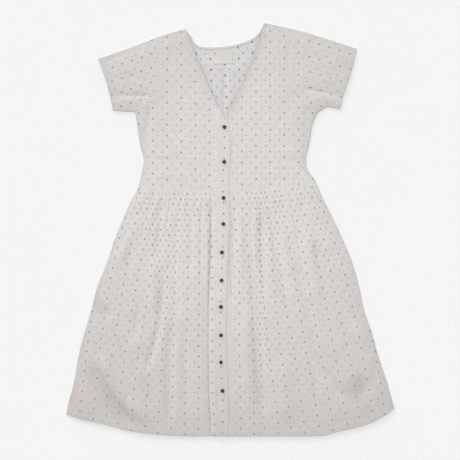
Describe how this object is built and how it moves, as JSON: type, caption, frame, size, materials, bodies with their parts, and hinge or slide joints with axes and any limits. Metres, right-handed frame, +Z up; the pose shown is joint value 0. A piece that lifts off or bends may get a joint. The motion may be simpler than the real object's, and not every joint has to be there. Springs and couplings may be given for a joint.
{
  "type": "cotton dress, laid flat",
  "caption": "Short-sleeved button-front dress with a V neck and a gathered skirt, in pale woven cotton with small woven spots, laid flat on its back.",
  "frame": {"origin": "on the surface the dress lies on, under the middle of its length and width", "axes": "+X to the right of someone looking at the front, +Y up the dress to the neck, +Z up off the surface"},
  "size_m": [0.822, 1.0343, 0.0121],
  "materials": {
    "cloth_face": "plain-woven cotton, matt, with woven spots of three colours",
    "cloth_reverse": "reverse of the same cotton, with the spots more vivid",
    "binding": "bias strip of the same cotton",
    "label": "woven cream tape, bare",
    "button": "brown horn-like, satin"
  },
  "bodies": {
    "root": {"front_bodice_left": "cloth_face", "front_bodice_right": "cloth_face", "front_skirt_left": "cloth_face", "front_skirt_right": "cloth_face", "sleeve_left": "cloth_face", "sleeve_right": "cloth_face", "placket_over": "cloth_face", "placket_under": "cloth_face", "back_bodice": "cloth_reverse", "back_skirt": "cloth_reverse", "neck_binding": "binding", "neck_label": "label", "button_01": "button", "button_02": "button", "button_03": "button", "button_04": "button", "button_05": "button", "button_06": "button", "button_07": "button", "button_08": "button", "button_09": "button", "button_10": "button"}
  },
  "joints": []
}
